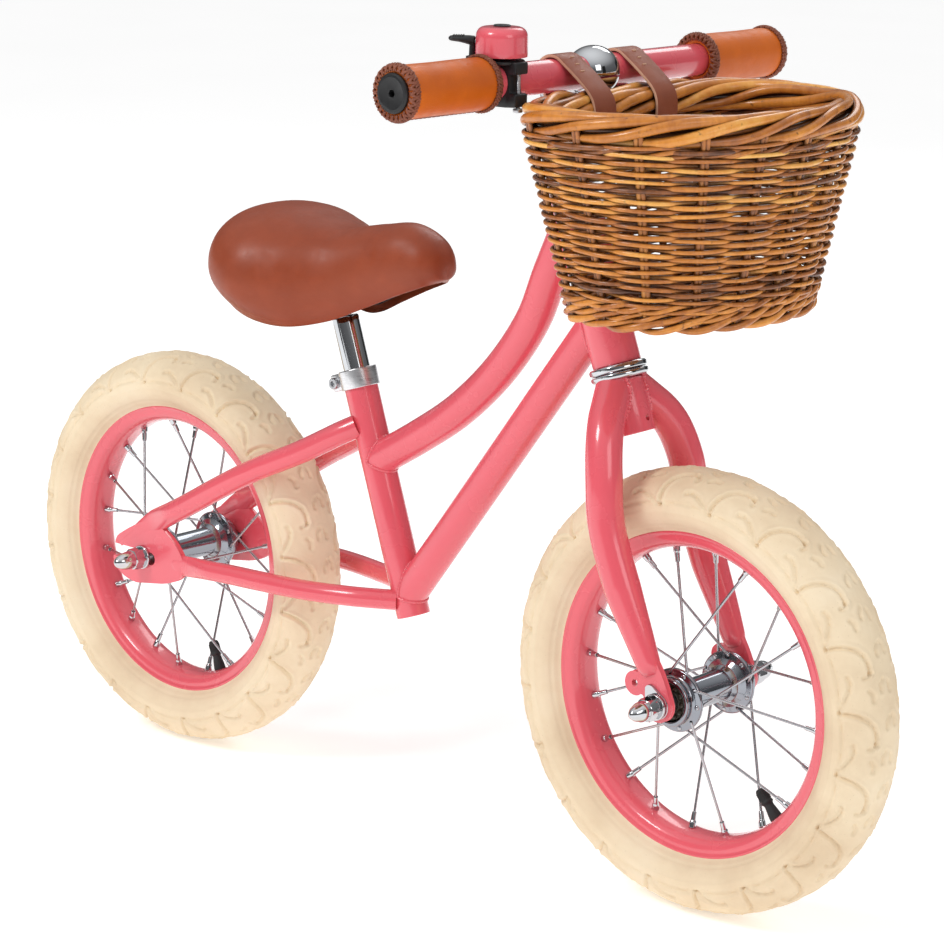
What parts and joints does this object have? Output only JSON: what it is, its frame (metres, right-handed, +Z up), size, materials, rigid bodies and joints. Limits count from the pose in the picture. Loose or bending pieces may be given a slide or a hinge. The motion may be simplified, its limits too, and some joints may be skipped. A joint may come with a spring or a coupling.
{
  "type": "balance bike",
  "caption": "Small pedal-free bike for a young child: steel frame, spoked cream-tyred wheels, wicker front basket, bell, leather grips and an adjustable saddle.",
  "frame": {"origin": "on the ground, midway between the two axles", "axes": "+X in the direction of travel, +Y to the rider's left, +Z up"},
  "size_m": [0.841, 0.3992, 0.6137],
  "materials": {
    "paint": "gloss coral pink enamel",
    "chrome": "bright chrome",
    "steel": "plain zinc plated steel",
    "aluminium": "brushed",
    "tyre": "matt cream rubber",
    "black_rubber": "matt black",
    "black_plastic": "satin black",
    "tan_leather": "smooth tan",
    "brown_leather": "smooth brown",
    "saddle_leather": "smooth rust brown",
    "wicker": "varnished willow"
  },
  "bodies": {
    "frame": {"head_tube": "paint", "top_tube": "paint", "down_tube": "paint", "seat_tube": "paint", "chain_stay_left": "paint", "chain_stay_right": "paint", "seat_stay_left": "paint", "seat_stay_right": "paint", "rear_dropout_left": "paint", "rear_dropout_right": "paint", "lower_headset_cup": "chrome", "upper_headset_cup": "chrome", "seat_clamp": "aluminium", "seat_clamp_bolt": "steel", "rear_axle": "steel", "rear_bearing_left": "steel", "rear_bearing_right": "steel", "rear_axle_nut_left": "chrome", "rear_axle_nut_right": "chrome"},
    "fork": {"steerer": "paint", "fork_blade_left": "paint", "fork_blade_right": "paint", "crown_race": "chrome", "headset_locknut": "chrome", "front_axle": "steel", "front_bearing_left": "steel", "front_bearing_right": "steel", "front_axle_nut_left": "chrome", "front_axle_nut_right": "chrome", "tab_washer_left": "chrome", "tab_washer_right": "chrome"},
    "front_wheel": {"front_tyre": "tyre", "front_inner_tube": "black_rubber", "front_rim": "paint", "front_spokes": "steel", "front_hub": "chrome"},
    "rear_wheel": {"rear_tyre": "tyre", "rear_inner_tube": "black_rubber", "rear_rim": "paint", "rear_spokes": "steel", "rear_hub": "chrome"},
    "cockpit": {"stem": "chrome", "stem_expander": "steel", "handlebar": "paint", "grip_left": "tan_leather", "grip_right": "tan_leather", "bar_plug_left": "black_plastic", "bar_plug_right": "black_plastic", "bell_base": "black_plastic", "bell_clamp_screw": "steel", "bell_dome": "paint", "basket": "wicker", "basket_strap_left": "brown_leather", "basket_strap_right": "brown_leather"},
    "bell_lever": {"bell_lever": "black_plastic"},
    "seat_post": {"seat_post": "chrome"},
    "saddle": {"saddle_cover": "saddle_leather", "saddle_base": "black_plastic", "saddle_rails": "steel", "saddle_clamp": "steel"}
  },
  "joints": [
    {"name": "steering", "type": "hinge", "parent": "frame", "child": "fork", "pos_m": [0.1784, 0, 0.3713], "axis": [-0.3584, 0, 0.9336], "range_deg": [-75, 75]},
    {"name": "front_wheel_spin", "type": "hinge", "parent": "fork", "child": "front_wheel", "pos_m": [0.2625, 0, 0.158], "axis": [0, 1, 0], "continuous": true},
    {"name": "rear_wheel_spin", "type": "hinge", "parent": "frame", "child": "rear_wheel", "pos_m": [-0.2625, 0, 0.158], "axis": [0, 1, 0], "continuous": true},
    {"name": "stem_height", "type": "slide", "parent": "fork", "child": "cockpit", "axis": [-0.3584, 0, 0.9336], "range_m": [0, 0.04]},
    {"name": "seat_height", "type": "slide", "parent": "frame", "child": "seat_post", "axis": [-0.3289, 0, 0.9444], "range_m": [-0.02, 0.06]},
    {"name": "saddle_tilt", "type": "hinge", "parent": "seat_post", "child": "saddle", "pos_m": [-0.09402, 0, 0.38438], "axis": [0, 1, 0], "range_deg": [-10, 10]},
    {"name": "bell_lever", "type": "hinge", "parent": "cockpit", "child": "bell_lever", "pos_m": [0.13045, -0.10574, 0.577], "axis": [0, 0, 1], "range_deg": [0, 20], "stiffness_Nm_per_rad": 0.15}
  ]
}
